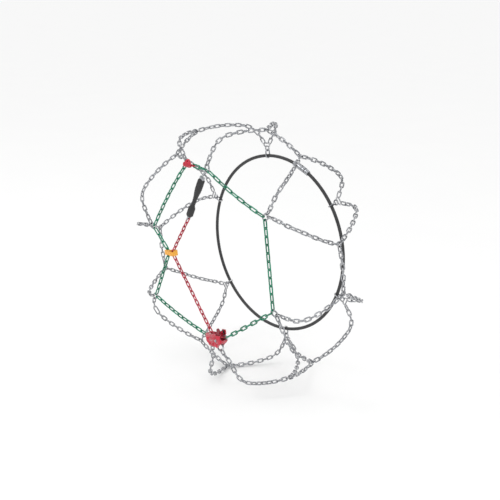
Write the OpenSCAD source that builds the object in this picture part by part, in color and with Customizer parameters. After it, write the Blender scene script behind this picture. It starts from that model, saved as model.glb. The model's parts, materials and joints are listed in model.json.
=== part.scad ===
// Tyre snow chain: a zigzag net of twisted-link chain for the tread, a green side chain,
// a red tension chain with ratchet, rubber tensioner and guide clip on the outer side,
// and a cable hoop with a bayonet coupling on the inner side.
// Drawn as it sits on its tyre. Origin: the wheel's centre, wheel axle along Y,
// outer side of the wheel towards -Y, +Z up. Angles run from +Z towards +X.

/* [Tyre the net fits] */
// Outside diameter of the tyre
tyre_d = 632; // [580:1:760]
// Section width of the tyre
tyre_w = 205; // [170:1:250]
// Diameter of the wheel rim's edge
rim_d = 441; // [400:1:470]
// Radius of the tyre's shoulder
shoulder_r = 26.5; // [20:0.5:34]
// Depth below the tread at which the straight sidewall starts
shoulder_drop = 41; // [36:1:60]

/* [Net chain] */
// Wire thickness of a net link
net_wire = 3.1; // [2.5:0.1:3.3]
// Inside width of a net link
net_in_w = 5.2; // [4.8:0.1:6.4]
// Pitch of the net chain
net_pitch = 12.8; // [11.8:0.1:16]
// Play between two links of any chain
link_play = 0.6; // [0.5:0.05:0.8]
// Wire thickness of a tread ring
ring_wire = 3.4; // [3:0.1:3.6]
// Radius of a tread ring's wire centre line
ring_r = 5.9; // [5.8:0.1:7]
// Wire thickness of a junction link
junction_wire = 3.6; // [3.2:0.1:3.8]
// How much wider a junction link is inside than two wires of the side chain
junction_room = 3.2; // [3:0.1:5]
// Inside length of a junction link
junction_in_l = 17; // [15:0.5:24]

/* [Side chain] */
// Wire thickness of a side chain link
side_wire = 3.2; // [2.8:0.1:3.9]
// Inside width of a side chain link
side_in_w = 4.8; // [4.7:0.1:6]
// Pitch of the side chain
side_pitch = 20; // [17:0.5:26]

/* [Tension chain] */
// Wire thickness of a tension chain link
tens_wire = 2.8; // [2.5:0.1:3]
// Inside width of a tension chain link
tens_in_w = 4.4; // [4.2:0.1:5]
// Pitch of the tension chain
tens_pitch = 12.6; // [11:0.1:14]

/* [Ratchet] */
// Distance of the ratchet from the wheel's centre
ratchet_r = 191; // [185:1:200]
// Width of the ratchet housing
ratchet_w = 56; // [54:1:70]
// Wall thickness of the ratchet's shells
shell_t = 2.4; // [1.8:0.1:3]
// Diameter of the ratchet's rivets
rivet_d = 4.2; // [3.6:0.1:4.3]

/* [Rubber tensioner] */
// Length of the rubber body
rubber_l = 108; // [80:1:118]
// Diameter of the rubber's two thick ends
rubber_d = 17; // [15:0.5:22]
// Diameter of the rubber's waist
waist_d = 10; // [8:0.5:14]

/* [Cable hoop] */
// Radius of the hoop of cable behind the wheel
hoop_r = 222; // [210:1:232]
// Diameter of the sheathed cable
cable_d = 8; // [6:0.5:8.4]
// Outside diameter of the hoop's bayonet coupling
coupling_d = 14; // [13:0.5:18]

/* [Hidden] */
$fn = 48;

zinc = [0.76, 0.77, 0.78];
green = [0.08, 0.5, 0.33];
red = [0.78, 0.1, 0.2];
dark_red = [0.55, 0.08, 0.16];
amber = [0.98, 0.7, 0.2];
black = [0.15, 0.15, 0.16];

deg = 180 / PI;
eps = 0.15;        // least gap between two pieces that hook into each other
path_steps = 40;   // steps in which a run's length is measured

// Outside widths of the links
net_width = net_in_w + 2 * net_wire;
side_width = side_in_w + 2 * side_wire;
tens_width = tens_in_w + 2 * tens_wire;
junction_in_w = 2 * max(net_wire, side_wire) + junction_room;

// ---- The surface that the chain's centre line lies on: crown arc, shoulder arc, sidewall
lift = net_width / 2;
side_y = tyre_w / 2 + lift;
crown_r = tyre_d / 2 + lift;
edge_r = shoulder_r + lift;
edge_y = side_y - edge_r;
edge_c = tyre_d / 2 - shoulder_drop;
top_gap = crown_r - edge_r;
crown_c = (pow(top_gap, 2) - pow(edge_y, 2) - pow(edge_c, 2)) / (2 * (top_gap - edge_c));
crown_rho = crown_r - crown_c;
crown_ang = asin(edge_y / (crown_rho - edge_r));
crown_len = crown_rho * crown_ang / deg;
edge_len = edge_r * (90 - crown_ang) / deg;

function unit(v) = v / norm(v);
function at(th, r, y) = [r * sin(th), y, r * cos(th)];
// Distance over the surface, from the tread's middle to radius r on a sidewall
function side_s(r) = crown_len + edge_len + edge_c - r;
// Angle a, less or plus whole turns, at its nearest to angle ref
function turned(a, ref) = a - 360 * round((a - ref) / 360);
// [y, radius, normal's y part, normal's radial part] at distance s from the tread's middle
function profile(s) =
  let (a = abs(s), sg = s < 0 ? -1 : 1)
  a < crown_len ?
    let (g = a / crown_rho * deg)
    [sg * crown_rho * sin(g), crown_c + crown_rho * cos(g), sg * sin(g), cos(g)] :
  a < crown_len + edge_len ?
    let (g = crown_ang + (a - crown_len) / edge_r * deg)
    [sg * (edge_y + edge_r * sin(g)), edge_c + edge_r * cos(g), sg * sin(g), cos(g)] :
    [sg * side_y, edge_c + crown_len + edge_len - a, sg, 0];
// Point and normal of the place q = [angle, s] on the surface
function spot(q) = let (p = profile(q[1])) at(q[0], p[1], p[0]);
function spot_normal(q) = let (p = profile(q[1])) at(q[0], p[3], p[2]);

// ---- Places of the net's joints: [angle, distance from the tread's middle]
tread_q = [
  [15, -10], [35, -6], [74, -12], [94, -6], [130, -16], [150, -8],
  [190, -8], [210, -8], [250, -8], [270, -8], [310, -8], [330, -8]
];
// Angle and radius beyond the rim's edge of the five junction links
junction_at = [[357, 1], [51.7, 9.5], [109.2, 1.5], [236.8, 43], [281, 4.5]];
junction_q = [for (j = junction_at) [j[0], rim_d / 2 + j[1]]];
junction_end = (junction_in_l - junction_in_w) / 2;
junction_post = junction_in_w / 2 - max(net_wire, side_wire) / 2 - 0.22;
// Where two net runs share a junction link, each one's wire lies this far to its side
pair_side = net_wire / 2 + 0.25;
pair_post = sqrt(pow(junction_in_w / 2 - net_wire / 2 - 0.1, 2) - pow(pair_side, 2));
ring_post = ring_r - ring_wire / 2 - net_wire / 2 - eps;
// Inner junctions: angles of the six rings and how far they stand outside the cable hoop
inner_th = [352, 54, 112, 170, 230, 290];
eye_wire = 3.2;
eye_in_w = cable_d + 1.2;
eye_in_l = 18;
eye_back = cable_d / 2 + eye_wire / 2 + eps;
inner_r = hoop_r - eye_back + eye_wire + eye_in_l + ring_r - (ring_wire + eye_wire) / 2 - eps;

// ---- Places of the outer hardware, in a face frame: x across, y up, z away from the wheel
function face_pt(c, ang, x, y, z) =
  [c[0] + x * cos(ang) - y * sin(ang), c[1] - z, c[2] + x * sin(ang) + y * cos(ang)];
module face(c, ang) translate(c) rotate([0, -ang, 0]) rotate([90, 0, 0]) children();

// Closure hook: its eye, its peg, and the levels at which links lie on the peg
hook_r = rim_d / 2 + 16;
hook_peg_th = 340;
hook_span = 20;
peg_d = 3.4;
hook_peg = at(hook_peg_th, hook_r, -side_y);
peg_level = (net_wire + side_wire) / 2 + 0.5;
peg_play = 0.25;
// Ratchet
ratchet_th = 171.4;
ratchet_tilt = 9;
ratchet_y = side_y + 9.5;
ratchet_c = at(ratchet_th, ratchet_r, -ratchet_y);
end_link_x = ratchet_w / 2 + 3;
end_link_y = 10.6;
turn_x = -12;
turn_y = 12.6;
turn_ang = 151;
green_pin = [5.5 - ratchet_w / 2, 5];
net_pin = [11.5 - ratchet_w / 2, -6.5];
ring_pin = [8.5, -9];
lever_at = [6, 1.2];
// Guide clip
clip_c = at(266.3, 141, -side_y - 5);
clip_tilt = 8;
clip_green_x = -17;
clip_green_ang = 92;
clip_red_x = 4;
clip_red_ang = 86;
// Tail: the tension chain above the clip ends at the rubber's lower eye
tail_low = [-75, -side_y - 6, 90.5];

// ---- Holes that chain ends hook into: [point, distance of the end wire beyond it]
function oval_end(wire, width, inner_l) = (inner_l - width + 2 * wire) / 2;
side_end = oval_end(side_wire, side_width, side_pitch + link_play);
tens_end = oval_end(tens_wire, tens_width, tens_pitch + link_play);
end_wire = net_wire;
end_link_half = oval_end(end_wire, net_width, net_pitch + link_play);
function inner_hole(i) = at(junction_q[i][0], junction_q[i][1] - junction_end, -side_y);
function clip_green(k) =
  let (c = face_pt(clip_c, clip_tilt, clip_green_x, 0, 0), a = clip_tilt + clip_green_ang)
  face_pt(c, a, k * side_end, 0, 0);
function clip_red(k) =
  let (c = face_pt(clip_c, clip_tilt, clip_red_x, 0, 0), a = clip_tilt + clip_red_ang)
  face_pt(c, a, k * tens_end, 0, 0);
function turn_hole(k) =
  let (c = face_pt(ratchet_c, ratchet_tilt, turn_x, turn_y, 0), a = ratchet_tilt + turn_ang)
  face_pt(c, a, k * tens_end, 0, 0);
function end_hole(k) =
  face_pt(ratchet_c, ratchet_tilt, end_link_x + k * end_link_half, end_link_y, 0);
function on_pin(pin_d, wire) = -(pin_d + wire) / 2 - eps;
hook_eye = hook_peg + hook_span * unit(inner_hole(0) - hook_peg);

// ---- Links and runs
// One chain link, lying in the XY plane with its length along X. Its straight sides are in whole
// thousandths of a millimetre, so that their ends meet the bends exactly
module link(inner_l, wire, width) {
  r = (width - wire) / 2;
  half = round(oval_end(wire, width, inner_l) * 1000) / 1000;
  for (s = [-1, 1]) {
    translate([s * half, 0, 0]) rotate([0, 0, -90 * s])
      rotate_extrude(angle = 180) translate([r, 0]) circle(d = wire, $fn = 20);
    translate([-half, s * r, 0]) rotate([0, 90, 0]) cylinder(d = wire, h = 2 * half, $fn = 20);
  }
}
// A link between two contact points; up is the surface's normal, roll turns the link about its
// length: at 0 it stands on the surface, at 90 it lies flat
module link_between(a, b, up, roll, wire, width) {
  t = unit(b - a);
  n = unit(up - (up * t) * t);
  s = cross(t, n);
  v = cos(roll) * n + sin(roll) * s;
  w = cross(t, v);
  m = (a + b) / 2;
  multmatrix([
    [t[0], v[0], w[0], m[0]], [t[1], v[1], w[1], m[1]], [t[2], v[2], w[2], m[2]], [0, 0, 0, 1]
  ]) link(norm(b - a) + link_play, wire, width);
}
// Roll of link i of n that starts at roll r0 and ends at roll r1: a quarter turn per link, plus
// a slow twist that adds up to r1, and that lays the middle of a net run at 45 degrees
function roll(i, n, r0, r1, zip) =
  let (
    rest = (r1 - r0 - 90 * (n - 1)) % 180,
    left = rest < -1 ? rest + 180 : rest,
    step = max(15, 90 / (n - 1)),
    up = min(step * i, 45),
    down = min(step * (n - 1 - i), 45)
  )
  r0 + 90 * i + (zip ? (left > 1 ? (i < n / 2 ? up : 90 - down) : min(up, down)) :
    left > 1 ? 90 * i / (n - 1) : 0);
module run(pts, ups, r0, r1, zip, wire, width) {
  n = len(pts) - 1;
  for (i = [0:n - 1])
    link_between(pts[i], pts[i + 1], unit(ups[i] + ups[i + 1]), roll(i, n, r0, r1, zip), wire, width);
}
// Running length along a list of points
function lengths(p) =
  [for (a = 0, i = 0; i < len(p); a = a + (i + 1 < len(p) ? norm(p[i + 1] - p[i]) : 0), i = i + 1) a];
// Place at distance x along the places q, whose running lengths are c
function pick(q, c, x) =
  let (
    i = max(0, min(len(c) - 2, len([for (v = c) if (v <= x) 1]) - 1)),
    t = (x - c[i]) / (c[i + 1] - c[i])
  )
  q[i] + (q[i + 1] - q[i]) * t;
// A net run over the surface from place a to place b, bowed sideways in the middle. off_a and
// off_b say where the end links' wires lie from a and b
module net_run(a, b, bow, off_a, off_b, r0, r1) {
  q = [for (i = [0:path_steps]) let (u = i / path_steps)
    [a[0] + (b[0] - a[0]) * u + bow * 4 * u * (1 - u), a[1] + (b[1] - a[1]) * u]];
  c = lengths([for (v = q) spot(v)]);
  touch = (net_wire + link_play) / 2;
  from = off_a + touch;
  to = c[path_steps] - off_b - touch;
  n = max(2, round((to - from) / net_pitch));
  k = [for (i = [0:n]) pick(q, c, from + (to - from) * i / n)];
  color(zinc) run([for (v = k) spot(v)], [for (v = k) spot_normal(v)],
    r0, r1, true, net_wire, net_width);
}
// A run between two holes beside the wheel; bow takes its middle away from the wheel's centre
module straight_run(a, b, off_a, off_b, r0, r1, pitch, wire, width, bow) {
  d = unit(b - a);
  touch = (wire + link_play) / 2;
  from = a + d * (off_a + touch);
  to = b - d * (off_b + touch);
  whole = norm(to - from) / pitch;
  n = r0 == r1 ? 2 * round((whole - 1) / 2) + 1 : 2 * round(whole / 2);
  out = unit([from[0] + to[0], 0, from[2] + to[2]]);
  run([for (i = [0:n]) let (u = i / n) from + (to - from) * u + out * bow * 4 * u * (1 - u)],
    [for (i = [0:n]) [0, -1, 0]], r0, r1, false, wire, width);
}
module side_run(a, b, off_a, off_b, r0, r1, bow = 0)
  color(green) straight_run(a, b, off_a, off_b, r0, r1, side_pitch, side_wire, side_width, bow);
module tens_run(a, b, off_a, off_b, r0, r1)
  color(red) straight_run(a, b, off_a, off_b, r0, r1, tens_pitch, tens_wire, tens_width, 0);
module ring(r, wire) rotate_extrude() translate([r, 0]) circle(d = wire, $fn = 24);
// Ring or link lying flat on the surface at place q, its length along the wheel's radius
module flat_on(q) {
  n = spot_normal(q);
  s = at(q[0] + 90, 1, 0);
  t = cross(s, n);
  p = spot(q);
  multmatrix([
    [t[0], s[0], n[0], p[0]], [t[1], s[1], n[1], p[1]], [t[2], s[2], n[2], p[2]], [0, 0, 0, 1]
  ]) children();
}

// ---- The net
// Outer runs: [junction, tread ring, bow, side of the junction link it starts on]. The three
// runs with a junction below 0 start at the closure hook, the ratchet's ring and its pin
outer_runs = [
  [0, 0, 1, 0], [1, 1, 1, -1], [1, 2, 3.5, 1], [2, 3, 1.3, -1], [2, 4, 1, 1], [-2, 5, 0, 0],
  [-3, 6, 0, 0], [3, 7, 0.5, -1], [3, 8, 0.5, 1], [4, 9, 0, -1], [4, 10, 0.5, 1], [-1, 11, 0, 0]
];
function outer_s(r) = -side_s(r);
module outer_run(i) {
  r = outer_runs[i - 1];
  j = r[0];
  b = tread_q[r[1]];
  near = junction_q[max(j, 0)];
  if (j >= 0)
    net_run(
      [turned(near[0], b[0]) + r[3] * pair_side / near[1] * deg,
        outer_s(near[1] + junction_end) + (r[3] == 0 ? junction_post : pair_post)],
      b, r[2], 0, ring_post, 0, 0);
  if (j == -1)
    net_run([hook_peg_th, outer_s(hook_r)], b, r[2], on_pin(peg_d, net_wire) - peg_play,
      ring_post, 90, 0);
  if (j == -2)
    ratchet_run(ring_bottom(), b, ratchet_ring_post, 0);
  if (j == -3)
    ratchet_run(face_pt(ratchet_c, ratchet_tilt, net_pin[0], net_pin[1], 0), b,
      on_pin(rivet_d, net_wire), 90);
}
// A run that starts at the ratchet, a little outside the surface, and comes down onto it
ratchet_ring_wire = 3.8;
ratchet_ring_r = 10.6;
ratchet_ring_post = ratchet_ring_r - (ratchet_ring_wire + net_wire) / 2 - 0.3;
ratchet_ring_drop = ratchet_ring_r - (ratchet_ring_wire + rivet_d) / 2 - eps;
function ring_bottom() =
  face_pt(ratchet_c, ratchet_tilt, ring_pin[0], ring_pin[1] - ratchet_ring_drop, 0);
plain = 12;
landing = 34;
module ratchet_run(h, b, off_a, r0) {
  th = turned(atan2(h[0], h[2]), b[0]);
  rad = norm([h[0], h[2]]);
  a = [th, outer_s(rad)];
  over = -side_y - h[1];
  q = [for (i = [0:path_steps]) a + (b - a) * i / path_steps];
  surf = lengths([for (v = q) spot(v)]);
  p = [for (i = [0:path_steps]) let (u = max(0, min(1, (surf[i] - plain) / landing)))
    spot(q[i]) - [0, over * (1 + cos(180 * u)) / 2, 0]];
  c = lengths(p);
  touch = (net_wire + link_play) / 2;
  from = off_a + touch;
  to = c[path_steps] - ring_post - touch;
  n = round((to - from) / net_pitch);
  x = [for (i = [0:n]) from + (to - from) * i / n];
  color(zinc) run([for (v = x) pick(p, c, v)], [for (v = x) spot_normal(pick(q, c, v))],
    r0, 0, true, net_wire, net_width);
}
// The two inner runs that meet at inner ring i
module inner_pair(i) {
  th = inner_th[i - 1];
  j = 2 * i + 9;
  for (k = [0, 1]) {
    t = tread_q[(j + k) % 12];
    net_run([turned(th, t[0]), side_s(inner_r)], t, k == 0 ? -1 : 1, ring_post, ring_post, 0, 0);
  }
}
module tread_bar(i) {
  a = tread_q[2 * i - 2];
  b = tread_q[2 * i - 1];
  net_run(a, b, 0, ring_post, ring_post, 0, 0);
}
module tread_rings() color(zinc) for (q = tread_q) flat_on(q) ring(ring_r, ring_wire);
module inner_rings() color(zinc)
  for (th = inner_th) flat_on([th, side_s(inner_r)]) ring(ring_r, ring_wire);
module junction_links() color(zinc)
  for (q = junction_q)
    flat_on([q[0], outer_s(q[1])])
      link(junction_in_l, junction_wire, junction_in_w + 2 * junction_wire);
// Eyes that tie the inner rings to the cable hoop
module hoop_eyes() color(zinc) for (th = inner_th) {
  low = hoop_r - eye_back + (eye_wire + link_play) / 2;
  link_between(at(th, low, side_y), at(th, low + eye_in_l - link_play, side_y), [0, 1, 0], 0,
    eye_wire, eye_in_w + 2 * eye_wire);
}

// ---- Side chain, from the closure hook round the wheel and back to it
side_post = junction_post;
corner_off = 0.3;
module side_chain_1() side_run(hook_eye, inner_hole(0), -0.2, side_post, 90, 0);
module side_chain_2() side_run(inner_hole(0), inner_hole(1), side_post, side_post, 0, 0, -5);
module side_chain_3() side_run(inner_hole(1), inner_hole(2), side_post, side_post, 0, 0);
module side_chain_4() side_run(inner_hole(2), end_hole(1), side_post, corner_off, 0, 0);
module side_chain_5()
  side_run(face_pt(ratchet_c, ratchet_tilt, green_pin[0], green_pin[1], 0), inner_hole(3),
    on_pin(rivet_d, side_wire), side_post, 90, 0, 6);
module side_chain_6() {
  side_run(inner_hole(3), clip_green(-1), side_post, corner_off, 0, 0);
  side_run(clip_green(1), inner_hole(4), corner_off, side_post, 0, 0);
}
module side_chain_7()
  side_run(inner_hole(4), hook_peg - [0, peg_level, 0], side_post,
    on_pin(peg_d, side_wire) - peg_play, 0, 90, 5);
module side_corner_link() color(green)
  face(face_pt(clip_c, clip_tilt, clip_green_x, 0, 0), clip_tilt + clip_green_ang)
    link(side_pitch + link_play, side_wire, side_width);

// ---- Tension chain
module tension_chain_lower() {
  tens_run(end_hole(-1), turn_hole(-1), corner_off, corner_off, 0, 0);
  tens_run(turn_hole(1), clip_red(-1), corner_off, corner_off, 0, 0);
}
tail_eye_d = 3.2;
module tension_chain_tail()
  tens_run(clip_red(1), tail_low, corner_off, on_pin(tail_eye_d, tens_wire), 0, 90);
module tension_corner_links() color(red) {
  face(face_pt(ratchet_c, ratchet_tilt, turn_x, turn_y, 0), ratchet_tilt + turn_ang)
    link(tens_pitch + link_play, tens_wire, tens_width);
  face(face_pt(clip_c, clip_tilt, clip_red_x, 0, 0), clip_tilt + clip_red_ang)
    link(tens_pitch + link_play, tens_wire, tens_width);
}
module tension_end_link() color(zinc)
  face(face_pt(ratchet_c, ratchet_tilt, end_link_x, end_link_y, 0), ratchet_tilt)
    link(net_pitch + link_play, end_wire, net_width);

// ---- Ratchet: two shells riveted together, the chain running between them
body_r = 36;            // radius of the housing's round lower side
body_top = 17;          // height of its flat upper side over the lever's level
shell_in = 6.4;         // half the space between the shells, at the chain
lever_gap = 3.2;        // room for the lever in front of the chain
front_in = shell_in + lever_gap - 1;
module ratchet_frame() face(ratchet_c, ratchet_tilt) children();
module housing_outline(inset) intersection() {
  translate([-1, 22]) circle(r = body_r - inset, $fn = 160);
  translate([-ratchet_w / 2 + inset, -30]) square([ratchet_w - 2 * inset, 30 + body_top - inset]);
}
// Mouths cut in the housing's rim: left for the side chain, lower left for the net, top for the
// tension chain and the lever, right for the end link, bottom for the ring
module mouths(h) for (m = [
    [-ratchet_w / 2 - 5, -30, 15, 45.5], [-ratchet_w / 2, -40, 19, 44.5 + net_pin[1]], [-22, 8, 52, 20],
    [ratchet_w / 2 - 7, 3, 30, 30], [ring_pin[0] - 13.5, -40, 27, 37.5]
  ])
  translate([m[0], m[1], -h]) cube([m[2], m[3], 2 * h]);
rivets_at = [green_pin, net_pin, ring_pin, [22, 0.5], [-5.5, -9]];
module rivet_holes() for (p = concat(rivets_at, [lever_at]))
  translate([p[0], p[1], -30]) cylinder(d = rivet_d + 2 * rivet_fit, h = 60);
rivet_fit = 0.05;
// Rounded lobes of the housing round the ring's rivet and the net's
module lobes() {
  translate([ring_pin[0], ring_pin[1] - 1]) circle(r = 6);
  translate([net_pin[0] + 2, net_pin[1]]) circle(r = 7);
}
// Notch round the tension chain's end link
module end_notch() translate([ratchet_w / 2 + 2.5, end_link_y]) circle(r = 7.5);
module ratchet_front_shell() color(red) ratchet_frame() difference() {
  union() {
    translate([0, 0, front_in]) linear_extrude(shell_t) difference() {
      union() {
        housing_outline(0);
        lobes();
      }
      end_notch();
      // Opening for the lever
      translate([9, body_top - 2.5]) square([15, 10]);
    }
    difference() {
      linear_extrude(front_in + eps) difference() {
        housing_outline(0);
        housing_outline(shell_t);
      }
      mouths(30);
    }
  }
  rivet_holes();
}
module ratchet_back_shell() color(red) ratchet_frame() difference() {
  union() {
    translate([0, 0, -shell_in - shell_t]) linear_extrude(shell_t) difference() {
      union() {
        housing_outline(0);
        lobes();
        // Tab that carries the spring
        translate([spring_at[0] - 6, 5]) square([12, spring_at[1]]);
      }
      end_notch();
    }
    difference() {
      translate([0, 0, -shell_in - eps]) linear_extrude(shell_in + eps - 0.1) difference() {
        housing_outline(0);
        housing_outline(shell_t);
      }
      mouths(30);
    }
    translate([spring_at[0], spring_at[1], -shell_in - eps]) cylinder(d = spring_in - 0.8, h = 9);
  }
  rivet_holes();
}
head_d = 7.6;
head_h = 1.2;
module rivet() {
  translate([0, 0, -shell_in - shell_t - head_h])
    cylinder(d = rivet_d, h = shell_in + front_in + 2 * shell_t + 2 * head_h);
  translate([0, 0, front_in + shell_t]) cylinder(d1 = head_d, d2 = head_d - 2, h = head_h);
  translate([0, 0, -shell_in - shell_t - head_h]) cylinder(d1 = head_d - 2, d2 = head_d, h = head_h);
}
module ratchet_rivets() color(zinc) ratchet_frame()
  for (p = rivets_at) translate([p[0], p[1], 0]) rivet();
module lever_pin() color(zinc) ratchet_frame() translate([lever_at[0], lever_at[1], 0]) rivet();
module ratchet_ring() color(zinc) ratchet_frame()
  translate([ring_pin[0], ring_pin[1] - ratchet_ring_drop, 0]) ring(ratchet_ring_r, ratchet_ring_wire);
// Lever with the pawl: a plate in front of the chain, a hub on the pin, a nose under the chain
lever_t = 2;
lever_l = 36;
lever_w = 8;
lever_lean = 22;
hub_d = 7;
lever_fit = 0.06;
lever_z = front_in - lever_t - 0.4;
module ratchet_lever() color(dark_red) ratchet_frame() translate([lever_at[0], lever_at[1], 0])
  difference() {
    union() {
      translate([0, 0, -shell_in + 0.4]) cylinder(d = hub_d, h = shell_in + lever_z + 0.6);
      translate([0, 0, lever_z]) linear_extrude(lever_t) {
        circle(d = 12);
        rotate([0, 0, -lever_lean]) {
          translate([-lever_w / 2, 0]) square([lever_w, lever_l - lever_w]);
          translate([0, lever_l - lever_w]) circle(d = lever_w + 3);
        }
      }
      // Thumb tab, bent back
      rotate([0, 0, -lever_lean]) translate([-lever_w / 2 + 0.5, lever_l - 12, lever_z - 3.5])
        cube([lever_w - 1, 4, 4.5]);
      // Nose that catches the chain
      translate([-9, -2, -3]) cube([9, 3.6, 6]);
    }
    translate([0, 0, -30]) cylinder(d = rivet_d + 2 * lever_fit, h = 60);
  }
// Spring that holds the lever, on its post above the chain
spring_at = [20, 22];
spring_in = 5.6;
spring_wire = 1.2;
spring_turns = 5;
module lever_spring() color(black) ratchet_frame() translate([spring_at[0], spring_at[1], 0]) {
  translate([0, 0, -shell_in + 1]) rotate_extrude()
    for (i = [0:spring_turns - 1])
      translate([(spring_in + spring_wire) / 2, i * spring_wire * 0.9]) circle(d = spring_wire, $fn = 16);
  rotate([0, 0, 20]) translate([0, (spring_in + spring_wire) / 2, -shell_in + 1])
    rotate([0, 90, 0]) cylinder(d = spring_wire - 0.2, h = 8);
}

// ---- Closure hook: eye at the side chain's end, shank in front, peg through two end links
hook_ang = atan2(hook_peg[2] - hook_eye[2], hook_peg[0] - hook_eye[0]);
eye_t = 3.6;
eye_hole = side_wire + 1.8;
shank_z = peg_level + side_wire / 2 + 0.5;
shank_t = 4.6;
shank_w = 10;
ear = [9, -9.5];      // the thumb ear's centre
module closure_hook() color(red) face(hook_eye, hook_ang) {
  difference() {
    union() {
      rotate([90, 0, 0]) cylinder(d = 10, h = eye_t, center = true);
      translate([0, -eye_t / 2, 0]) cube([8, eye_t, shank_z + shank_t - 0.5]);
    }
    rotate([90, 0, 0]) cylinder(d = eye_hole, h = 30, center = true);
    translate([-10, -10, 5]) cube([10, 20, 20]);
  }
  translate([0, 0, shank_z]) linear_extrude(shank_t) difference() {
    union() {
      translate([3.5, -shank_w / 2]) square([hook_span - 3.5, shank_w]);
      translate([3.5, 0]) circle(d = shank_w);
      translate([hook_span, 0]) circle(d = shank_w + 1);
      translate(ear) circle(d = shank_w);
      polygon([[0, -3], ear - [4.6, 2], ear + [4.6, -2], [hook_span + 3, -4]]);
    }
    translate(ear) circle(d = 4.4);
  }
  translate([hook_span, 0, -net_wire / 2 - 1.8]) cylinder(d = peg_d, h = shank_z + 3.4);
  // Rolled-over rim of the peg
  translate([hook_span, 0, shank_z + shank_t - 0.3]) cylinder(d1 = 7, d2 = 5.4, h = 1.3);
}

// ---- Guide clip: a jaw pegged through the side chain's link, and an eye for the tension chain
jaw_h = 12.4;
jaw_t = 9;
clip_h = 14;
clip_wall = 2.2;
clip_eye = [11.8, 11.2];
clip_left = -24.6;
module guide_clip() color(amber) face(clip_c, clip_tilt) {
  mid = clip_red_x - clip_eye[0] / 2 - clip_wall;
  difference() {
    translate([clip_left, -jaw_h / 2, -jaw_t / 2]) cube([mid - clip_left + 0.5, jaw_h, jaw_t]);
    translate([clip_left - 1, -jaw_h, -side_wire / 2 - 0.4])
      cube([clip_green_x + side_width / 2 + 1.6 - clip_left, 2 * jaw_h, side_wire + 0.8]);
  }
  translate([clip_green_x - 1.7, -2.5, -jaw_t / 2 + 1]) cube([3.4, 5, jaw_t - 2]);
  difference() {
    translate([mid, -clip_h / 2, -clip_eye[1] / 2 - clip_wall])
      cube([clip_eye[0] + 2 * clip_wall, clip_h, clip_eye[1] + 2 * clip_wall]);
    translate([clip_red_x - clip_eye[0] / 2, -clip_h, -clip_eye[1] / 2])
      cube([clip_eye[0], 2 * clip_h, clip_eye[1]]);
    translate([mid - 1, 3.6, clip_eye[1] / 2 - 1]) cube([40, 10, 10]);
  }
}

// ---- Rubber tensioner with its two metal ends
hook_wire = 3;
tens_post = (junction_in_w - hook_wire) / 2 - 0.5;
// Where the tensioner's hook goes through the junction link
hook_in = inner_hole(0) + tens_post * unit([-0.3, 0, -1]);
front_level = side_width / 2 + hook_wire / 2 + 0.6;
tail_top = hook_in - [0, front_level, 0];
tail_v = tail_top - tail_low;
tail_len = norm(tail_v);
tail_ang = atan2(tail_v[2], tail_v[0]);
tail_rise = asin(-tail_v[1] / tail_len);
low_fit = 9;
end_w = 9;
cheek_t = 1.8;
// Frame with X along the tensioner, from its lower eye
module tail_frame() face(tail_low, tail_ang) rotate([0, -tail_rise, 0]) children();
// Half outline of the rubber at share u of its length: a short thick lower end with a shoulder, a
// waist, and a long upper end; both ends are rounded off
function rubber_point(u) =
  let (
    low = u < 0.2 ? 1 : u < 0.3 ? (1 + cos((u - 0.2) * 1800)) / 2 : 0,
    high = u < 0.42 ? 0 : u < 0.78 ? (1 - cos((u - 0.42) * 500)) / 2 : 1,
    end = min(u, 1 - u) * rubber_l,
    round_off = end < 2 ? 2 - sqrt(4 - pow(2 - end, 2)) : 0
  )
  [(waist_d + (rubber_d - waist_d) * max(low, high)) / 2 - round_off, u * rubber_l];
module rubber_tensioner() color(black) tail_frame() translate([low_fit, 0, 0]) rotate([0, 90, 0])
  rotate_extrude() polygon(concat([[0, 0]], [for (i = [0:30]) rubber_point(i / 30)], [[0, rubber_l]]));
module tensioner_end() color(zinc) tail_frame() {
  cylinder(d = tail_eye_d, h = end_w, center = true);
  // Two cheeks and the plate that the rubber is fixed to
  for (s = [-1, 1])
    translate([-2, -2, s * (end_w - cheek_t) / 2 - cheek_t / 2]) cube([low_fit - 0.5, 4, cheek_t]);
  translate([low_fit - 3, -3, -end_w / 2]) cube([2.9, 6, end_w]);
}
module tensioner_hook() color(zinc) tail_frame() {
  top = low_fit + rubber_l;
  reach = tail_len - top;
  translate([top + 0.1, -6, -3.5]) cube([7, 12, 7]);
  translate([top + 5, 0, 0]) rotate([0, 90, 0]) cylinder(d = hook_wire - 0.4, h = reach - 5);
  translate([tail_len, 0, 0]) rotate([0, tail_rise, 0]) translate([0, 0, -front_level - 5])
    cylinder(d = hook_wire, h = front_level + 5 + hook_wire * 0.6);
}

// ---- Cable hoop behind the wheel, closed by a bayonet coupling
coupling_th = 22;
gap_ang = asin(11 / hoop_r);
ferrule_ang = asin(12 / hoop_r);
ferrule_l = 12;
function swing(l) = l / hoop_r * deg;
// Frame at an angle on the hoop: X along the cable, Z away from the wheel's centre
module hoop_frame(th, r) translate(at(th, r, side_y)) rotate([0, th, 0]) children();
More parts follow.
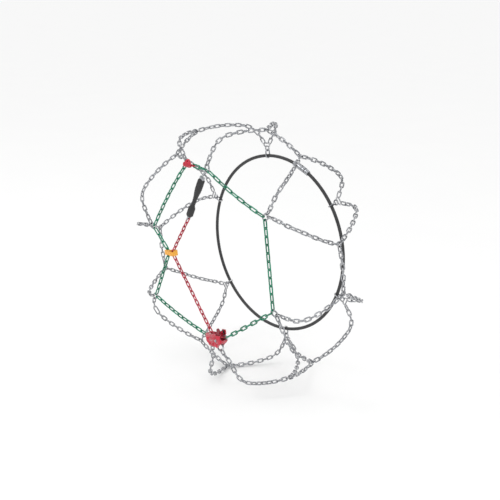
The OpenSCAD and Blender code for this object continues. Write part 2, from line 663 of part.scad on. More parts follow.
// A piece of the hoop's circle from angle a to angle b, with the given section
module hoop_arc(a, b) rotate([90, 0, 0]) rotate([0, 0, 90 - b])
  rotate_extrude(angle = b - a, $fn = 180) translate([hoop_r, 0]) children();
module hoop_cable() color(black) translate([0, side_y, 0])
  hoop_arc(coupling_th + gap_ang, coupling_th + 360 - gap_ang) circle(d = cable_d, $fn = 32);
module hoop_ferrules() color(zinc) translate([0, side_y, 0])
  for (a = [coupling_th + ferrule_ang + swing(1), coupling_th - ferrule_ang - swing(1 + ferrule_l)])
    hoop_arc(a, a + swing(ferrule_l)) difference() {
      circle(d = cable_d + 5);
      circle(d = cable_d + 2 * rivet_fit);
    }
cable_fit = 0.5;
stud_d = 7.4;
stud_fit = 0.08;
bayonet_d = 2.8;
bayonet_x = -4.5;
slot_w = bayonet_d + 0.6;
coupling_half = 12.6;
module coupling_frame() hoop_frame(coupling_th, hoop_r - 0.3) children();
module along(x0, x1, d) translate([x0, 0, 0]) rotate([0, 90, 0]) cylinder(d = d, h = x1 - x0);
module hoop_socket() color(zinc) coupling_frame() difference() {
  along(-coupling_half, 3, coupling_d);
  along(-8.5, 4, stud_d + 2 * stud_fit);
  along(-20, -10, cable_d + 2 * cable_fit);
  // Bayonet slot: in along the bore, then a quarter of a turn round it to the locked place
  translate([bayonet_x - slot_w / 2, -slot_w / 2, 0]) cube([20, slot_w, 20]);
  translate([bayonet_x - slot_w / 2, 0, 0]) rotate([0, 90, 0]) rotate([0, 0, 90])
    rotate_extrude(angle = 90) square([20, slot_w]);
  translate([bayonet_x - slot_w / 2, 0, -slot_w / 2]) cube([slot_w, 20, slot_w]);
}
module hoop_stud() color(zinc) coupling_frame() {
  difference() {
    union() {
      along(-8, 6, stud_d);
      along(3.4, coupling_half, coupling_d);
    }
    along(10, 20, cable_d + 2 * cable_fit);
  }
  translate([bayonet_x, 0, 0]) rotate([-90, 0, 0]) cylinder(d = bayonet_d, h = coupling_d / 2 + 1);
}

outer_run(1);  // outer_run_1
outer_run(2);  // outer_run_2
outer_run(3);  // outer_run_3
outer_run(4);  // outer_run_4
outer_run(5);  // outer_run_5
outer_run(6);  // outer_run_6
outer_run(7);  // outer_run_7
outer_run(8);  // outer_run_8
outer_run(9);  // outer_run_9
outer_run(10);  // outer_run_10
outer_run(11);  // outer_run_11
outer_run(12);  // outer_run_12
inner_pair(1);  // inner_pair_1
inner_pair(2);  // inner_pair_2
inner_pair(3);  // inner_pair_3
inner_pair(4);  // inner_pair_4
inner_pair(5);  // inner_pair_5
inner_pair(6);  // inner_pair_6
tread_bar(1);  // tread_bar_1
tread_bar(2);  // tread_bar_2
tread_bar(3);  // tread_bar_3
tread_bar(4);  // tread_bar_4
tread_bar(5);  // tread_bar_5
tread_bar(6);  // tread_bar_6
tread_rings();
junction_links();
inner_rings();
hoop_eyes();
side_chain_1();
side_chain_2();
side_chain_3();
side_chain_4();
side_chain_5();
side_chain_6();
side_chain_7();
side_corner_link();
tension_chain_lower();
tension_chain_tail();
tension_corner_links();
tension_end_link();
ratchet_front_shell();
ratchet_back_shell();
ratchet_rivets();
ratchet_ring();
ratchet_lever();
lever_pin();
lever_spring();
closure_hook();
guide_clip();
rubber_tensioner();
tensioner_hook();
tensioner_end();
hoop_cable();
hoop_ferrules();
hoop_socket();
hoop_stud();
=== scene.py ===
import json
import math

import bmesh
import bpy
import numpy as np
from mathutils import Matrix, Vector


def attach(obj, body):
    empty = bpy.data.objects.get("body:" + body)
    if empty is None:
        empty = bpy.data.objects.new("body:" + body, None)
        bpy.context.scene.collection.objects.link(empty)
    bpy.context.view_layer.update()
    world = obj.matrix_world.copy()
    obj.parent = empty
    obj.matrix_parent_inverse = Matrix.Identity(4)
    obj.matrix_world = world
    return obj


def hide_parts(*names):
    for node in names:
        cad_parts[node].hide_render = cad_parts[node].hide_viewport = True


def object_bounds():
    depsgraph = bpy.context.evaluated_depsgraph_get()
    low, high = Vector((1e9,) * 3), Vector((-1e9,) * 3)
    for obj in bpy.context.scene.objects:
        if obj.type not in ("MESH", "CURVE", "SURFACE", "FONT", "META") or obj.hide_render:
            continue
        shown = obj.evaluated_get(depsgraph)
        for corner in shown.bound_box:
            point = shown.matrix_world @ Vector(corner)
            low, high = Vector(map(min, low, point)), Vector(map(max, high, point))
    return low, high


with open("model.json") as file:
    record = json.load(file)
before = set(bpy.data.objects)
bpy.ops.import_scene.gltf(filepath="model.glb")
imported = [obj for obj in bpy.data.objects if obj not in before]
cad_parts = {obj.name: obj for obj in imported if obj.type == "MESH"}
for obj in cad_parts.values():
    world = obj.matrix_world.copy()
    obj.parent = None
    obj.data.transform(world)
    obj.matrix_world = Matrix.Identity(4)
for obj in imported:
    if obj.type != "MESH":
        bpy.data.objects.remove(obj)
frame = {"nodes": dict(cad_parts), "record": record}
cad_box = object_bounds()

# ---- Camera, floor and studio light
# A pale floor runs on past the horizon. One big soft light stands high on the left, a weaker
# one low on the right. The sky is pale, and the light that comes from it has a darker band at
# the horizon, which gives the bright metal something to reflect.
camera_turn, camera_rise, camera_far = math.radians(46.58), math.radians(17.05), 2.19
floor_z = cad_box[0][2] - 0.0005
floor_half = 60.0
key_power, key_size, key_at = 16.0, 0.9, (-1.2, -2.2, 2.4)
sky_seen = (0.88, 0.88, 0.88, 1.0)
side_power, side_size, side_at = 7.0, 0.9, (2.6, -0.6, 0.9)
sky_top, sky_band, sky_strength = (1.0, 1.0, 1.0, 1.0), (0.10, 0.105, 0.12, 1.0), 1.06

away = Vector((math.sin(camera_turn) * math.cos(camera_rise),
               -math.cos(camera_turn) * math.cos(camera_rise), math.sin(camera_rise)))
camera = bpy.data.objects.new("camera", bpy.data.cameras.new("camera"))
bpy.context.collection.objects.link(camera)
camera.location = away * camera_far
camera.rotation_euler = away.to_track_quat("Z", "Y").to_euler()
camera.data.lens, camera.data.sensor_width = 64.62, 36.0
camera.data.shift_x, camera.data.shift_y = 0.0105, 0.0042
camera.data.clip_end = 200.0
bpy.context.scene.camera = camera
bpy.context.scene.view_settings.view_transform = "Standard"


def add(tree, kind, inputs=None, **settings):
    """A node of that kind in the tree. A value that is a socket is linked, any other is set."""
    made = tree.nodes.new(kind)
    for key, value in settings.items():
        setattr(made, key, value)
    for key, value in (inputs or {}).items():
        if isinstance(value, bpy.types.NodeSocket):
            tree.links.new(value, made.inputs[key])
        else:
            made.inputs[key].default_value = value
    return made


def floor_finish():
    made = bpy.data.materials.new("pale floor")
    made.use_nodes = True
    tree = made.node_tree
    place = add(tree, "ShaderNodeTexCoord").outputs["Object"]
    cloud = add(tree, "ShaderNodeTexNoise", {"Vector": place, "Scale": 3.0, "Detail": 3.0})
    shade = add(tree, "ShaderNodeMix", {"Factor": cloud.outputs["Fac"], "A": (0.93, 0.93, 0.93, 1),
                                        "B": (0.95, 0.95, 0.945, 1)}, data_type="RGBA")
    surface = tree.nodes["Principled BSDF"]
    tree.links.new(shade.outputs["Result"], surface.inputs["Base Color"])
    surface.inputs["Roughness"].default_value = 0.9
    surface.inputs["Specular IOR Level"].default_value = 0.1
    return made


floor_mesh = bpy.data.meshes.new("floor")
floor_mesh.from_pydata([(x * floor_half, y * floor_half, floor_z)
                        for x, y in ((-1, -1), (1, -1), (1, 1), (-1, 1))], [], [(0, 1, 2, 3)])
floor_mesh.materials.append(floor_finish())
floor = bpy.data.objects.new("floor", floor_mesh)
bpy.context.collection.objects.link(floor)

for name, power, size, place in (("key light", key_power, key_size, key_at),
                                 ("side light", side_power, side_size, side_at)):
    lamp = bpy.data.lights.new(name, "AREA")
    lamp.energy, lamp.size = power, size
    lamp_object = bpy.data.objects.new(name, lamp)
    lamp_object.location = place
    lamp_object.rotation_euler = Vector(place).to_track_quat("Z", "Y").to_euler()
    bpy.context.collection.objects.link(lamp_object)

world = bpy.data.worlds.new("studio")
bpy.context.scene.world = world
world.use_nodes = True
sky = world.node_tree
height = add(sky, "ShaderNodeSeparateXYZ",
             {"Vector": add(sky, "ShaderNodeTexCoord").outputs["Generated"]}).outputs["Z"]
rise = add(sky, "ShaderNodeMapRange", {"Value": height, "From Min": 0.02, "From Max": 0.40})
sky_mix = add(sky, "ShaderNodeMix", {"Factor": rise.outputs["Result"], "A": sky_band,
                                     "B": sky_top}, data_type="RGBA")
seen = add(sky, "ShaderNodeMix", {
    "Factor": add(sky, "ShaderNodeLightPath").outputs["Is Camera Ray"],
    "A": sky_mix.outputs["Result"], "B": sky_seen}, data_type="RGBA")
sky.links.new(seen.outputs["Result"], sky.nodes["Background"].inputs["Color"])
sky.nodes["Background"].inputs["Strength"].default_value = sky_strength

# ---- The chains: net, side chain and tension chain
# Short oval links, each bent from round steel wire, hooked into the last one and butt-welded in
# the middle of one side. The net is bright zinc plated; the side chain is lacquered green and the
# tension chain red, and both show steel where the links rub at their ends.
link_bead = 0.0002
bead_length = 0.0011
link_steps, link_sides = 24, 8
straight_share = 0.25      # part of each half link's points that lie on its straight sides
NET_WIRE, SIDE_WIRE, TENSION_WIRE = 0.00305, 0.00316, 0.00276


def calc(tree, operation, *values):
    made = tree.nodes.new("ShaderNodeMath")
    made.operation = operation
    for socket, value in zip(made.inputs, values):
        if isinstance(value, bpy.types.NodeSocket):
            tree.links.new(value, socket)
        else:
            socket.default_value = value
    return made.outputs[0]


def new_tree(name, inputs):
    """A Geometry Nodes tree with those named inputs after its geometry: (name, kind, default)."""
    tree = bpy.data.node_groups.new(name, "GeometryNodeTree")
    tree.interface.new_socket("Geometry", in_out="INPUT", socket_type="NodeSocketGeometry")
    for label, kind, default in inputs:
        made = tree.interface.new_socket(label, in_out="INPUT", socket_type=kind)
        if default is not None:
            made.default_value = default
    tree.interface.new_socket("Geometry", in_out="OUTPUT", socket_type="NodeSocketGeometry")
    return tree, tree.nodes.new("NodeGroupInput").outputs, tree.nodes.new("NodeGroupOutput").inputs


def placed(tree, shape, points, finish):
    """Puts the shape at each point, turned and stretched by its attributes, with a random tone."""
    turn = add(tree, "GeometryNodeInputNamedAttribute", {"Name": "turn"}, data_type="QUATERNION")
    stretch = add(tree, "GeometryNodeInputNamedAttribute", {"Name": "stretch"},
                  data_type="FLOAT_VECTOR")
    spread = add(tree, "GeometryNodeInstanceOnPoints", {
        "Points": points, "Instance": shape, "Rotation": turn.outputs["Attribute"],
        "Scale": stretch.outputs["Attribute"]})
    chance = add(tree, "FunctionNodeRandomValue", {"Seed": 7}, data_type="FLOAT")
    toned = add(tree, "GeometryNodeStoreNamedAttribute", {
        "Geometry": spread.outputs["Instances"], "Name": "tone", "Value": chance.outputs[1]},
        data_type="FLOAT", domain="INSTANCE")
    real = add(tree, "GeometryNodeRealizeInstances", {"Geometry": toned.outputs["Geometry"]})
    return add(tree, "GeometryNodeSetMaterial", {
        "Geometry": real.outputs["Geometry"], "Material": finish}).outputs["Geometry"]


def link_tree():
    """Oval links: a circle of points is drawn out into two bends and two straights, swept with the
    wire's section, and given its weld bead."""
    tree, inputs, outputs = new_tree("chain links", [
        ("Wire", "NodeSocketFloat", 0.003), ("Width", "NodeSocketFloat", 0.011),
        ("Length", "NodeSocketFloat", 0.019), ("Bead", "NodeSocketFloat", link_bead),
        ("Finish", "NodeSocketMaterial", None)])
    wire_r = calc(tree, "MULTIPLY", inputs["Wire"], 0.5)
    bend_r = calc(tree, "SUBTRACT", calc(tree, "MULTIPLY", inputs["Width"], 0.5),
                  calc(tree, "ADD", wire_r, inputs["Bead"]))
    reach = calc(tree, "MULTIPLY", inputs["Length"], 0.5)
    half = calc(tree, "SUBTRACT", reach, calc(tree, "ADD", bend_r, wire_r))
    count = link_steps // 2
    index = tree.nodes.new("GeometryNodeInputIndex").outputs["Index"]
    second = calc(tree, "FLOOR", calc(tree, "DIVIDE", index, count))
    share = calc(tree, "DIVIDE", calc(tree, "MODULO", index, count), count - 1)
    past = calc(tree, "SUBTRACT", calc(tree, "MULTIPLY", share, 1 + 2 * straight_share),
                straight_share)
    inside = calc(tree, "MINIMUM", calc(tree, "MAXIMUM", past, 0.0), 1.0)
    beyond = calc(tree, "ABSOLUTE", calc(tree, "SUBTRACT", past, inside))
    turn = calc(tree, "MULTIPLY", calc(tree, "SUBTRACT", inside, 0.5), math.pi)
    straight = calc(tree, "SUBTRACT", 1.0,
                    calc(tree, "MULTIPLY", beyond, 0.9 / straight_share))
    x = calc(tree, "ADD", calc(tree, "MULTIPLY", half, straight),
             calc(tree, "MULTIPLY", bend_r, calc(tree, "COSINE", turn)))
    y = calc(tree, "MULTIPLY", bend_r, calc(tree, "SINE", turn))
    sign = calc(tree, "SUBTRACT", 1.0, calc(tree, "MULTIPLY", second, 2.0))
    spot = add(tree, "ShaderNodeCombineXYZ", {"X": calc(tree, "MULTIPLY", x, sign),
                                              "Y": calc(tree, "MULTIPLY", y, sign)})
    circle = add(tree, "GeometryNodeCurvePrimitiveCircle", {"Resolution": link_steps})
    oval = add(tree, "GeometryNodeSetPosition", {"Geometry": circle.outputs["Curve"],
                                                 "Position": spot.outputs["Vector"]})
    section = add(tree, "GeometryNodeCurvePrimitiveCircle", {"Resolution": link_sides,
                                                             "Radius": wire_r})
    swept = add(tree, "GeometryNodeCurveToMesh", {"Curve": oval.outputs["Geometry"],
                                                  "Profile Curve": section.outputs["Curve"]})
    here = add(tree, "ShaderNodeSeparateXYZ",
               {"Vector": tree.nodes.new("GeometryNodeInputPosition").outputs["Position"]})
    near = calc(tree, "DIVIDE", here.outputs["X"], bead_length)
    swell = calc(tree, "MULTIPLY", inputs["Bead"], calc(tree, "MULTIPLY", calc(
        tree, "GREATER_THAN", here.outputs["Y"], 0.0), calc(tree, "EXPONENT", calc(
            tree, "MULTIPLY", calc(tree, "MULTIPLY", near, near), -1.0))))
    outward = tree.nodes.new("GeometryNodeInputNormal").outputs["Normal"]
    push = add(tree, "ShaderNodeVectorMath", {0: outward, "Scale": swell}, operation="SCALE")
    beaded = add(tree, "GeometryNodeSetPosition", {"Geometry": swept.outputs["Mesh"],
                                                   "Offset": push.outputs["Vector"]})
    along = add(tree, "GeometryNodeStoreNamedAttribute", {
        "Geometry": beaded.outputs["Geometry"], "Name": "along",
        "Value": calc(tree, "DIVIDE", here.outputs["X"], reach)}, data_type="FLOAT", domain="POINT")
    smooth = add(tree, "GeometryNodeSetShadeSmooth", {"Geometry": along.outputs["Geometry"]})
    tree.links.new(placed(tree, smooth.outputs["Geometry"], inputs["Geometry"], inputs["Finish"]),
                   outputs["Geometry"])
    return tree


def solids_of(node):
    """The separate solids of a CAD node: for each, its centre, its axes from the longest to the
    shortest, as a matrix's columns, and its three sizes along them."""
    mesh = frame["nodes"][node].data
    points = np.empty(len(mesh.vertices) * 3)
    mesh.vertices.foreach_get("co", points)
    points = points.reshape(-1, 3)
    mesh.calc_loop_triangles()
    corners = np.empty(len(mesh.loop_triangles) * 3, dtype=np.int64)
    mesh.loop_triangles.foreach_get("vertices", corners)
    _, same = np.unique(np.round(points * 1e6).astype(np.int64), axis=0, return_inverse=True)
    tri = same.reshape(-1)[corners].reshape(-1, 3)
    label = np.arange(tri.max() + 1)
    while True:
        low = label[tri].min(axis=1)
        after = label.copy()
        for k in range(3):
            np.minimum.at(after, tri[:, k], low)
        after = after[after]
        if np.array_equal(after, label):
            break
        label = after
    owner = label[tri[:, 0]]
    at = points[corners].reshape(-1, 3, 3)
    found = []
    for key in np.unique(owner):
        own = at[owner == key]
        area = np.linalg.norm(np.cross(own[:, 1] - own[:, 0], own[:, 2] - own[:, 0]), axis=1)
        mids = own.mean(axis=1)
        mid = (mids * area[:, None]).sum(axis=0) / area.sum()
        off = mids - mid
        _, axes = np.linalg.eigh((off * area[:, None]).T @ off)
        axes = axes[:, ::-1]
        axes = axes * np.where(axes.T @ np.array([0.31, 0.47, 0.83]) < 0, -1.0, 1.0)
        axes[:, 2] = np.cross(axes[:, 0], axes[:, 1])
        local = own.reshape(-1, 3) @ axes
        low, high = local.min(axis=0), local.max(axis=0)
        found.append((axes @ ((low + high) / 2), axes, high - low))
    return found


def grown(name, tree, points, values, body, nodes):
    """A piece grown by a tree on points, (place, axes, stretch) each, as a plain mesh on a body."""
    mesh = bpy.data.meshes.new(name)
    mesh.from_pydata([tuple(p[0]) for p in points], [], [])
    turns = [Matrix([tuple(row) for row in p[1]]).to_quaternion() for p in points]
    mesh.attributes.new("turn", "QUATERNION", "POINT").data.foreach_set(
        "value", [v for t in turns for v in t])
    mesh.attributes.new("stretch", "FLOAT_VECTOR", "POINT").data.foreach_set(
        "vector", [v for p in points for v in p[2]])
    piece = bpy.data.objects.new(name, mesh)
    bpy.context.collection.objects.link(piece)
    modifier = piece.modifiers.new("shape", "NODES")
    modifier.node_group = tree
    for item in tree.interface.items_tree:
        if item.in_out == "INPUT" and item.name in values:
            modifier[item.identifier] = values[item.name]
    settle(piece)
    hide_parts(*nodes)
    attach(piece, body)
    return piece


def settle(piece):
    """Makes what the piece's modifiers give its own plain mesh, and removes them."""
    bpy.context.view_layer.update()
    graph = bpy.context.evaluated_depsgraph_get()
    made = bpy.data.meshes.new_from_object(piece.evaluated_get(graph), depsgraph=graph)
    piece.modifiers.clear()
    piece.data = made


def shader_group(name, inputs, outputs):
    tree = bpy.data.node_groups.new(name, "ShaderNodeTree")
    for label, default in inputs:
        tree.interface.new_socket(label, in_out="INPUT",
                                  socket_type="NodeSocketFloat").default_value = default
    for label in outputs:
        tree.interface.new_socket(label, in_out="OUTPUT", socket_type="NodeSocketFloat")
    return tree, tree.nodes.new("NodeGroupInput").outputs, tree.nodes.new("NodeGroupOutput").inputs


def rubbed_ends_group():
    """Mask of bare metal: 1 at a link's two ends, where the next link rubs, broken up by noise."""
    tree, inputs, outputs = shader_group("rubbed ends", [
        ("Start", 0.8), ("Patch Size", 900.0), ("Chips", 0.15)], ["Mask"])
    along = add(tree, "ShaderNodeAttribute", attribute_name="along").outputs["Fac"]
    place = add(tree, "ShaderNodeTexCoord").outputs["Object"]
    patch = add(tree, "ShaderNodeTexNoise", {"Vector": place, "Scale": inputs["Patch Size"],
                                             "Detail": 4.0, "Roughness": 0.65}).outputs["Fac"]
    end = calc(tree, "ADD", calc(tree, "ABSOLUTE", along),
               calc(tree, "MULTIPLY", calc(tree, "SUBTRACT", patch, 0.5), 0.5))
    rubbed = add(tree, "ShaderNodeMapRange", {
        "Value": end, "From Min": inputs["Start"],
        "From Max": calc(tree, "ADD", inputs["Start"], 0.08)}, interpolation_type="SMOOTHSTEP")
    chip = add(tree, "ShaderNodeMapRange", {"Value": patch, "From Min": 0.70, "From Max": 0.74})
    tree.links.new(calc(tree, "MAXIMUM", rubbed.outputs["Result"], calc(
        tree, "MULTIPLY", chip.outputs["Result"], inputs["Chips"])), outputs["Mask"])
    return tree


def fine_grain_group():
    """Small-scale unevenness of a cast, plated or moulded surface, as a height and a mask."""
    tree, inputs, outputs = shader_group("fine grain", [("Size", 1200.0), ("Spots", 260.0)],
                                         ["Height", "Mottle"])
    place = add(tree, "ShaderNodeTexCoord").outputs["Object"]
    fine = add(tree, "ShaderNodeTexNoise", {"Vector": place, "Scale": inputs["Size"],
                                            "Detail": 6.0, "Roughness": 0.6})
    wide = add(tree, "ShaderNodeTexNoise", {"Vector": place, "Scale": inputs["Spots"],
                                            "Detail": 2.0, "Distortion": 0.6})
    tree.links.new(fine.outputs["Fac"], outputs["Height"])
    mottle = add(tree, "ShaderNodeMapRange", {"Value": wide.outputs["Fac"], "From Min": 0.35,
                                              "From Max": 0.65})
    tree.links.new(mottle.outputs["Result"], outputs["Mottle"])
    return tree


rubbed_ends, fine_grain = rubbed_ends_group(), fine_grain_group()


def finish_start(name, grain_size, grain_spots, bump, depth=0.0001):
    """A new material with the fine grain in its bump: its tree, surface and mottle mask."""
    made = bpy.data.materials.new(name)
    made.use_nodes = True
    tree = made.node_tree
    grain = add(tree, "ShaderNodeGroup", node_tree=fine_grain)
    grain.inputs["Size"].default_value = grain_size
    grain.inputs["Spots"].default_value = grain_spots
    dent = add(tree, "ShaderNodeBump", {"Height": grain.outputs["Height"], "Strength": bump,
                                        "Distance": depth})
    surface = tree.nodes["Principled BSDF"]
    tree.links.new(dent.outputs["Normal"], surface.inputs["Normal"])
    return made, tree, surface, grain.outputs["Mottle"]


def zinc_finish(name, on_links):
    """Bright zinc plating: bluish grey, a little blotchy, polished where it rubs."""
    made, tree, surface, mottle = finish_start(name, 1500.0, 320.0, 0.25)
    colour = add(tree, "ShaderNodeMix", {"Factor": mottle, "A": (0.27, 0.28, 0.30, 1),
                                         "B": (0.50, 0.51, 0.53, 1)}, data_type="RGBA")
    colour = colour.outputs["Result"]
    rough = calc(tree, "ADD", 0.22, calc(tree, "MULTIPLY", mottle, 0.12))
    if on_links:
        tone = add(tree, "ShaderNodeAttribute", attribute_name="tone").outputs["Fac"]
        dark = add(tree, "ShaderNodeMix", {"Factor": calc(tree, "MULTIPLY", tone, 0.55),
                                           "A": colour, "B": (0.16, 0.165, 0.18, 1)},
                   data_type="RGBA").outputs["Result"]
        worn = add(tree, "ShaderNodeGroup", node_tree=rubbed_ends)
        worn.inputs["Start"].default_value = 0.72
        colour = add(tree, "ShaderNodeMix", {"Factor": worn.outputs["Mask"], "A": dark,
                                             "B": (0.60, 0.60, 0.61, 1)},
                     data_type="RGBA").outputs["Result"]
        rough = calc(tree, "SUBTRACT", rough, calc(tree, "MULTIPLY", worn.outputs["Mask"], 0.14))
    tree.links.new(colour, surface.inputs["Base Color"])
    tree.links.new(rough, surface.inputs["Roughness"])
    surface.inputs["Metallic"].default_value = 1.0
    return made


def lacquered_chain(name, deep, bright, wear_start):
    """Coloured lacquer over plated wire: glassy, deeper in patches, worn to steel at the ends."""
    made, tree, surface, mottle = finish_start(name, 900.0, 240.0, 0.18)
    tone = add(tree, "ShaderNodeAttribute", attribute_name="tone").outputs["Fac"]
    paint = add(tree, "ShaderNodeMix", {
        "Factor": calc(tree, "MULTIPLY", calc(tree, "ADD", mottle, tone), 0.5),
        "A": deep, "B": bright}, data_type="RGBA").outputs["Result"]
    worn = add(tree, "ShaderNodeGroup", node_tree=rubbed_ends)
    worn.inputs["Start"].default_value = wear_start
    mask = worn.outputs["Mask"]
    colour = add(tree, "ShaderNodeMix", {"Factor": mask, "A": paint, "B": (0.52, 0.53, 0.54, 1)},
                 data_type="RGBA").outputs["Result"]
    tree.links.new(colour, surface.inputs["Base Color"])
    tree.links.new(calc(tree, "ADD", 0.22, calc(tree, "MULTIPLY", mottle, 0.14)),
                   surface.inputs["Roughness"])
    tree.links.new(calc(tree, "ADD", 0.1, calc(tree, "MULTIPLY", mask, 0.9)),
                   surface.inputs["Metallic"])
    surface.inputs["Coat Weight"].default_value = 0.25
    surface.inputs["Coat Roughness"].default_value = 0.12
    return made


link_shape = link_tree()
zinc_links = zinc_finish("zinc plated links", True)
green_lacquer = lacquered_chain(
    "green lacquer", (0.002, 0.14, 0.07, 1), (0.006, 0.29, 0.16, 1), 0.95)
red_lacquer = lacquered_chain(
    "red lacquer", (0.34, 0.003, 0.022, 1), (0.58, 0.006, 0.045, 1), 0.95)


def chain(node, wire, finish, body="net", bead=link_bead):
    """The links of one CAD run: each takes its place, turn and length from its solid, and all share
    the median width.
    """
    solids = solids_of(node)
    length = float(np.median([s[2][0] for s in solids]))
    width = float(np.median([s[2][1] for s in solids]))
    grown(node + "_links", link_shape,
          [(s[0], s[1], (s[2][0] / length, 1.0, 1.0)) for s in solids],
          {"Wire": wire, "Width": width, "Length": length, "Bead": bead, "Finish": finish},
          body, [node])


for node in list(frame["nodes"]):
    if node.startswith(("outer_run", "inner_pair", "tread_bar")):
        chain(node, NET_WIRE, zinc_links)
    elif node.startswith("side_ch") or node == "side_corner_link":
        chain(node, SIDE_WIRE, green_lacquer)
chain("tension_chain_lower", TENSION_WIRE, red_lacquer)
chain("tension_corner_links", TENSION_WIRE, red_lacquer)
chain("tension_chain_tail", TENSION_WIRE, red_lacquer, "tail")
chain("tension_end_link", NET_WIRE, zinc_links)

# ---- Tread rings, inner rings, junction links and hoop eyes
# Heavier welded rings join the net's runs on the tread, longer flat links join it to the side
# chain, and long eyes tie it to the cable behind the wheel. All are bent from zinc plated wire.
RING_WIRE, JUNCTION_WIRE, EYE_WIRE, RATCHET_RING_WIRE = 0.0034, 0.0036, 0.0032, 0.0038
chain("tread_rings", RING_WIRE, zinc_links)
chain("inner_rings", RING_WIRE, zinc_links)
chain("junction_links", JUNCTION_WIRE, zinc_links)
chain("hoop_eyes", EYE_WIRE, zinc_links)
chain("ratchet_ring", RATCHET_RING_WIRE, zinc_links)

# ---- Ratchet
# Two pressed steel shells and their rivets, powder coated red, with the tension chain running
# between them over the lever's nose. The lever is a darker red pressing on a zinc plated pin,
# and a black coil spring stands beside it on a post.
def powder_coat(name, deep, bright):
    """Powder coat: slightly orange-peeled, and rubbed thin to a paler colour on the edges."""
    made, tree, surface, mottle = finish_start(name, 420.0, 120.0, 0.35, 0.0003)
    edge = add(tree, "ShaderNodeMapRange", {
        "Value": add(tree, "ShaderNodeNewGeometry").outputs["Pointiness"],
        "From Min": 0.60, "From Max": 0.72})
    place = add(tree, "ShaderNodeTexCoord").outputs["Object"]
    rub = add(tree, "ShaderNodeTexNoise", {"Vector": place, "Scale": 700.0, "Detail": 5.0})
    bare = calc(tree, "MULTIPLY", edge.outputs["Result"], add(tree, "ShaderNodeMapRange", {
        "Value": rub.outputs["Fac"], "From Min": 0.52, "From Max": 0.60}).outputs["Result"])
    paint = add(tree, "ShaderNodeMix", {"Factor": mottle, "A": deep, "B": bright},
                data_type="RGBA").outputs["Result"]
    colour = add(tree, "ShaderNodeMix", {"Factor": bare, "A": paint, "B": (0.5, 0.5, 0.51, 1)},
                 data_type="RGBA").outputs["Result"]
    tree.links.new(colour, surface.inputs["Base Color"])
    tree.links.new(calc(tree, "ADD", 0.30, calc(tree, "MULTIPLY", mottle, 0.12)),
                   surface.inputs["Roughness"])
    tree.links.new(bare, surface.inputs["Metallic"])
    surface.inputs["Coat Weight"].default_value = 0.15
    surface.inputs["Coat Roughness"].default_value = 0.2
    return made


def body_of(node):
    return next(name for name, own in frame["record"]["behaviour"]["bodies"].items()
                if node in own)


def softened(node, finish, width, segments=3):
    """A CAD solid with its loose triangles joined and its sharp edges rounded off."""
    mesh = frame["nodes"][node].data.copy()
    shape = bmesh.new()
    shape.from_mesh(mesh)
    bmesh.ops.remove_doubles(shape, verts=shape.verts, dist=2e-6)
    bmesh.ops.dissolve_limit(shape, angle_limit=math.radians(1.0), verts=shape.verts,
                             edges=shape.edges)
    for face in shape.faces:
        face.smooth = True
    shape.to_mesh(mesh)
    shape.free()
    mesh.materials.clear()
    mesh.materials.append(finish)
    piece = bpy.data.objects.new(node + "_finished", mesh)
    bpy.context.collection.objects.link(piece)
    bevel = piece.modifiers.new("rounded edges", "BEVEL")
    bevel.width, bevel.segments = width, segments
    bevel.limit_method, bevel.angle_limit = "ANGLE", math.radians(40)
    bevel.harden_normals = True
    settle(piece)
    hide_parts(node)
    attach(piece, body_of(node))
    return piece


red_coat = powder_coat("red powder coat", (0.42, 0.003, 0.022, 1), (0.62, 0.006, 0.040, 1))
dark_coat = powder_coat("dark red powder coat", (0.17, 0.003, 0.012, 1), (0.27, 0.006, 0.022, 1))
zinc_plain = zinc_finish("zinc plated", False)
softened("ratchet_front_shell", red_coat, 0.0007)
softened("ratchet_back_shell", red_coat, 0.0006)
softened("ratchet_lever", dark_coat, 0.0004)
softened("ratchet_rivets", red_coat, 0.0004)
softened("lever_pin", zinc_plain, 0.0003)


SPRING_WIRE, SPRING_RADIUS, SPRING_HEIGHT = 0.00115, 0.0034, 0.0043
SPRING_TURNS, SPRING_LEG = 4.75, 0.008


def coil_tree():
    """A close coil of round wire with a straight leg."""
    tree, inputs, outputs = new_tree("coil spring", [
        ("Turns", "NodeSocketFloat", SPRING_TURNS), ("Radius", "NodeSocketFloat", SPRING_RADIUS),
        ("Height", "NodeSocketFloat", SPRING_HEIGHT), ("Wire", "NodeSocketFloat", SPRING_WIRE),
        ("Leg", "NodeSocketFloat", SPRING_LEG), ("Finish", "NodeSocketMaterial", None)])
    coil = add(tree, "GeometryNodeCurveSpiral", {
        "Resolution": 32, "Rotations": inputs["Turns"], "Start Radius": inputs["Radius"],
        "End Radius": inputs["Radius"], "Height": inputs["Height"]})
    leg = add(tree, "GeometryNodeCurvePrimitiveLine", {
        "Start": add(tree, "ShaderNodeCombineXYZ", {"X": inputs["Radius"]}).outputs["Vector"],
        "End": add(tree, "ShaderNodeCombineXYZ", {
            "X": inputs["Radius"],
            "Y": calc(tree, "MULTIPLY", inputs["Leg"], -1.0)}).outputs["Vector"]})
    both = tree.nodes.new("GeometryNodeJoinGeometry")
    tree.links.new(coil.outputs["Curve"], both.inputs["Geometry"])
    tree.links.new(leg.outputs["Curve"], both.inputs["Geometry"])
    section = add(tree, "GeometryNodeCurvePrimitiveCircle", {
        "Resolution": 12, "Radius": calc(tree, "MULTIPLY", inputs["Wire"], 0.5)})
    swept = add(tree, "GeometryNodeCurveToMesh", {
        "Curve": both.outputs["Geometry"], "Profile Curve": section.outputs["Curve"],
        "Fill Caps": True})
    smooth = add(tree, "GeometryNodeSetShadeSmooth", {"Geometry": swept.outputs["Mesh"]})
    tree.links.new(placed(tree, smooth.outputs["Geometry"], inputs["Geometry"], inputs["Finish"]),
                   outputs["Geometry"])
    return tree


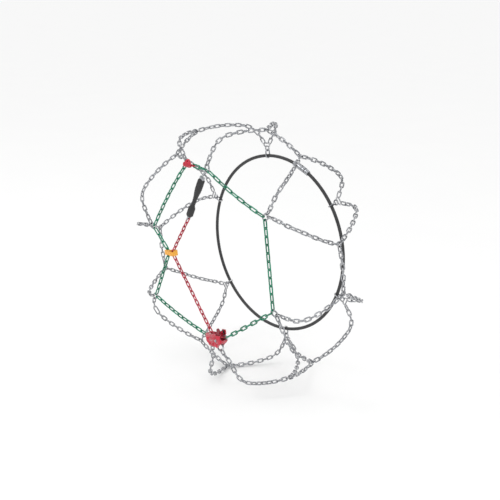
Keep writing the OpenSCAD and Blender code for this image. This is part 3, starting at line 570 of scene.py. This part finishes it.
def black_oxide():
    """Oiled black oxide on spring wire."""
    made, tree, surface, mottle = finish_start("black oxide", 1400.0, 300.0, 0.2)
    colour = add(tree, "ShaderNodeMix", {"Factor": mottle, "A": (0.012, 0.012, 0.013, 1),
                                         "B": (0.035, 0.035, 0.037, 1)}, data_type="RGBA")
    tree.links.new(colour.outputs["Result"], surface.inputs["Base Color"])
    surface.inputs["Metallic"].default_value = 0.6
    surface.inputs["Roughness"].default_value = 0.34
    return made


# The coil's axis is the middle of the CAD spring's rings, which its straight leg runs past
spring_points = np.array([tuple(v.co) for v in frame["nodes"]["lever_spring"].data.vertices])
spring_across = spring_points[:, [0, 2]]
spring_axis = np.median(spring_across, axis=0)
for _ in range(6):
    from_axis = np.linalg.norm(spring_across - spring_axis, axis=1)
    coiled = spring_across[from_axis < SPRING_RADIUS + 0.6 * SPRING_WIRE]
    spring_axis = (coiled.min(axis=0) + coiled.max(axis=0)) / 2
spring_back = spring_points[:, 1].max() - SPRING_WIRE / 2
ratchet_axes = np.array([[1.0, 0.0, 0.0], [0.0, 0.0, -1.0], [0.0, 1.0, 0.0]])
grown("lever_spring_coil", coil_tree(),
      [((spring_axis[0], spring_back, spring_axis[1]), ratchet_axes, (1.0, 1.0, 1.0))],
      {"Turns": SPRING_TURNS, "Radius": SPRING_RADIUS, "Height": SPRING_HEIGHT,
       "Wire": SPRING_WIRE, "Leg": SPRING_LEG, "Finish": black_oxide()},
      "net", ["lever_spring"])

# ---- Closure hook
# A red coated steel hook. Its eye hangs on the side chain's last link, and its peg goes through
# the end links of the net and of the side chain.
softened("closure_hook", red_coat, 0.0009)

# ---- Guide clip
# One injection moulding in amber plastic, pegged through a link of the side chain, with an eye
# that the tension chain runs through.
def amber_plastic():
    made, tree, surface, mottle = finish_start("amber plastic", 1100.0, 60.0, 0.12)
    colour = add(tree, "ShaderNodeMix", {"Factor": mottle, "A": (0.84, 0.36, 0.03, 1),
                                         "B": (0.95, 0.46, 0.06, 1)}, data_type="RGBA")
    tree.links.new(colour.outputs["Result"], surface.inputs["Base Color"])
    tree.links.new(calc(tree, "ADD", 0.36, calc(tree, "MULTIPLY", mottle, 0.08)),
                   surface.inputs["Roughness"])
    return made


softened("guide_clip", amber_plastic(), 0.0009)

# ---- Rubber tensioner
# A moulded rubber dumbbell, pulled between a zinc plated eye on the tension chain's tail and a
# wire hook in the junction link.
def black_rubber():
    made, tree, surface, mottle = finish_start("black rubber", 800.0, 90.0, 0.4, 0.0002)
    colour = add(tree, "ShaderNodeMix", {"Factor": mottle, "A": (0.018, 0.018, 0.019, 1),
                                         "B": (0.034, 0.034, 0.035, 1)}, data_type="RGBA")
    tree.links.new(colour.outputs["Result"], surface.inputs["Base Color"])
    tree.links.new(calc(tree, "ADD", 0.52, calc(tree, "MULTIPLY", mottle, 0.16)),
                   surface.inputs["Roughness"])
    return made


softened("rubber_tensioner", black_rubber(), 0.0008)
softened("tensioner_end", zinc_plain, 0.0004)
softened("tensioner_hook", zinc_plain, 0.0003)

# ---- Cable hoop
# A steel cable in a black sheath lies behind the wheel. Its two ends are swaged into a zinc
# plated bayonet coupling: a stud with a cross pin, and a slotted socket.
def black_sheath():
    made, tree, surface, mottle = finish_start("black sheath", 700.0, 70.0, 0.2)
    colour = add(tree, "ShaderNodeMix", {"Factor": mottle, "A": (0.022, 0.022, 0.024, 1),
                                         "B": (0.036, 0.036, 0.038, 1)}, data_type="RGBA")
    tree.links.new(colour.outputs["Result"], surface.inputs["Base Color"])
    tree.links.new(calc(tree, "ADD", 0.38, calc(tree, "MULTIPLY", mottle, 0.12)),
                   surface.inputs["Roughness"])
    return made


softened("hoop_cable", black_sheath(), 0.0006)
softened("hoop_ferrules", zinc_plain, 0.0005)
softened("hoop_socket", zinc_plain, 0.0005)
softened("hoop_stud", zinc_plain, 0.0005)
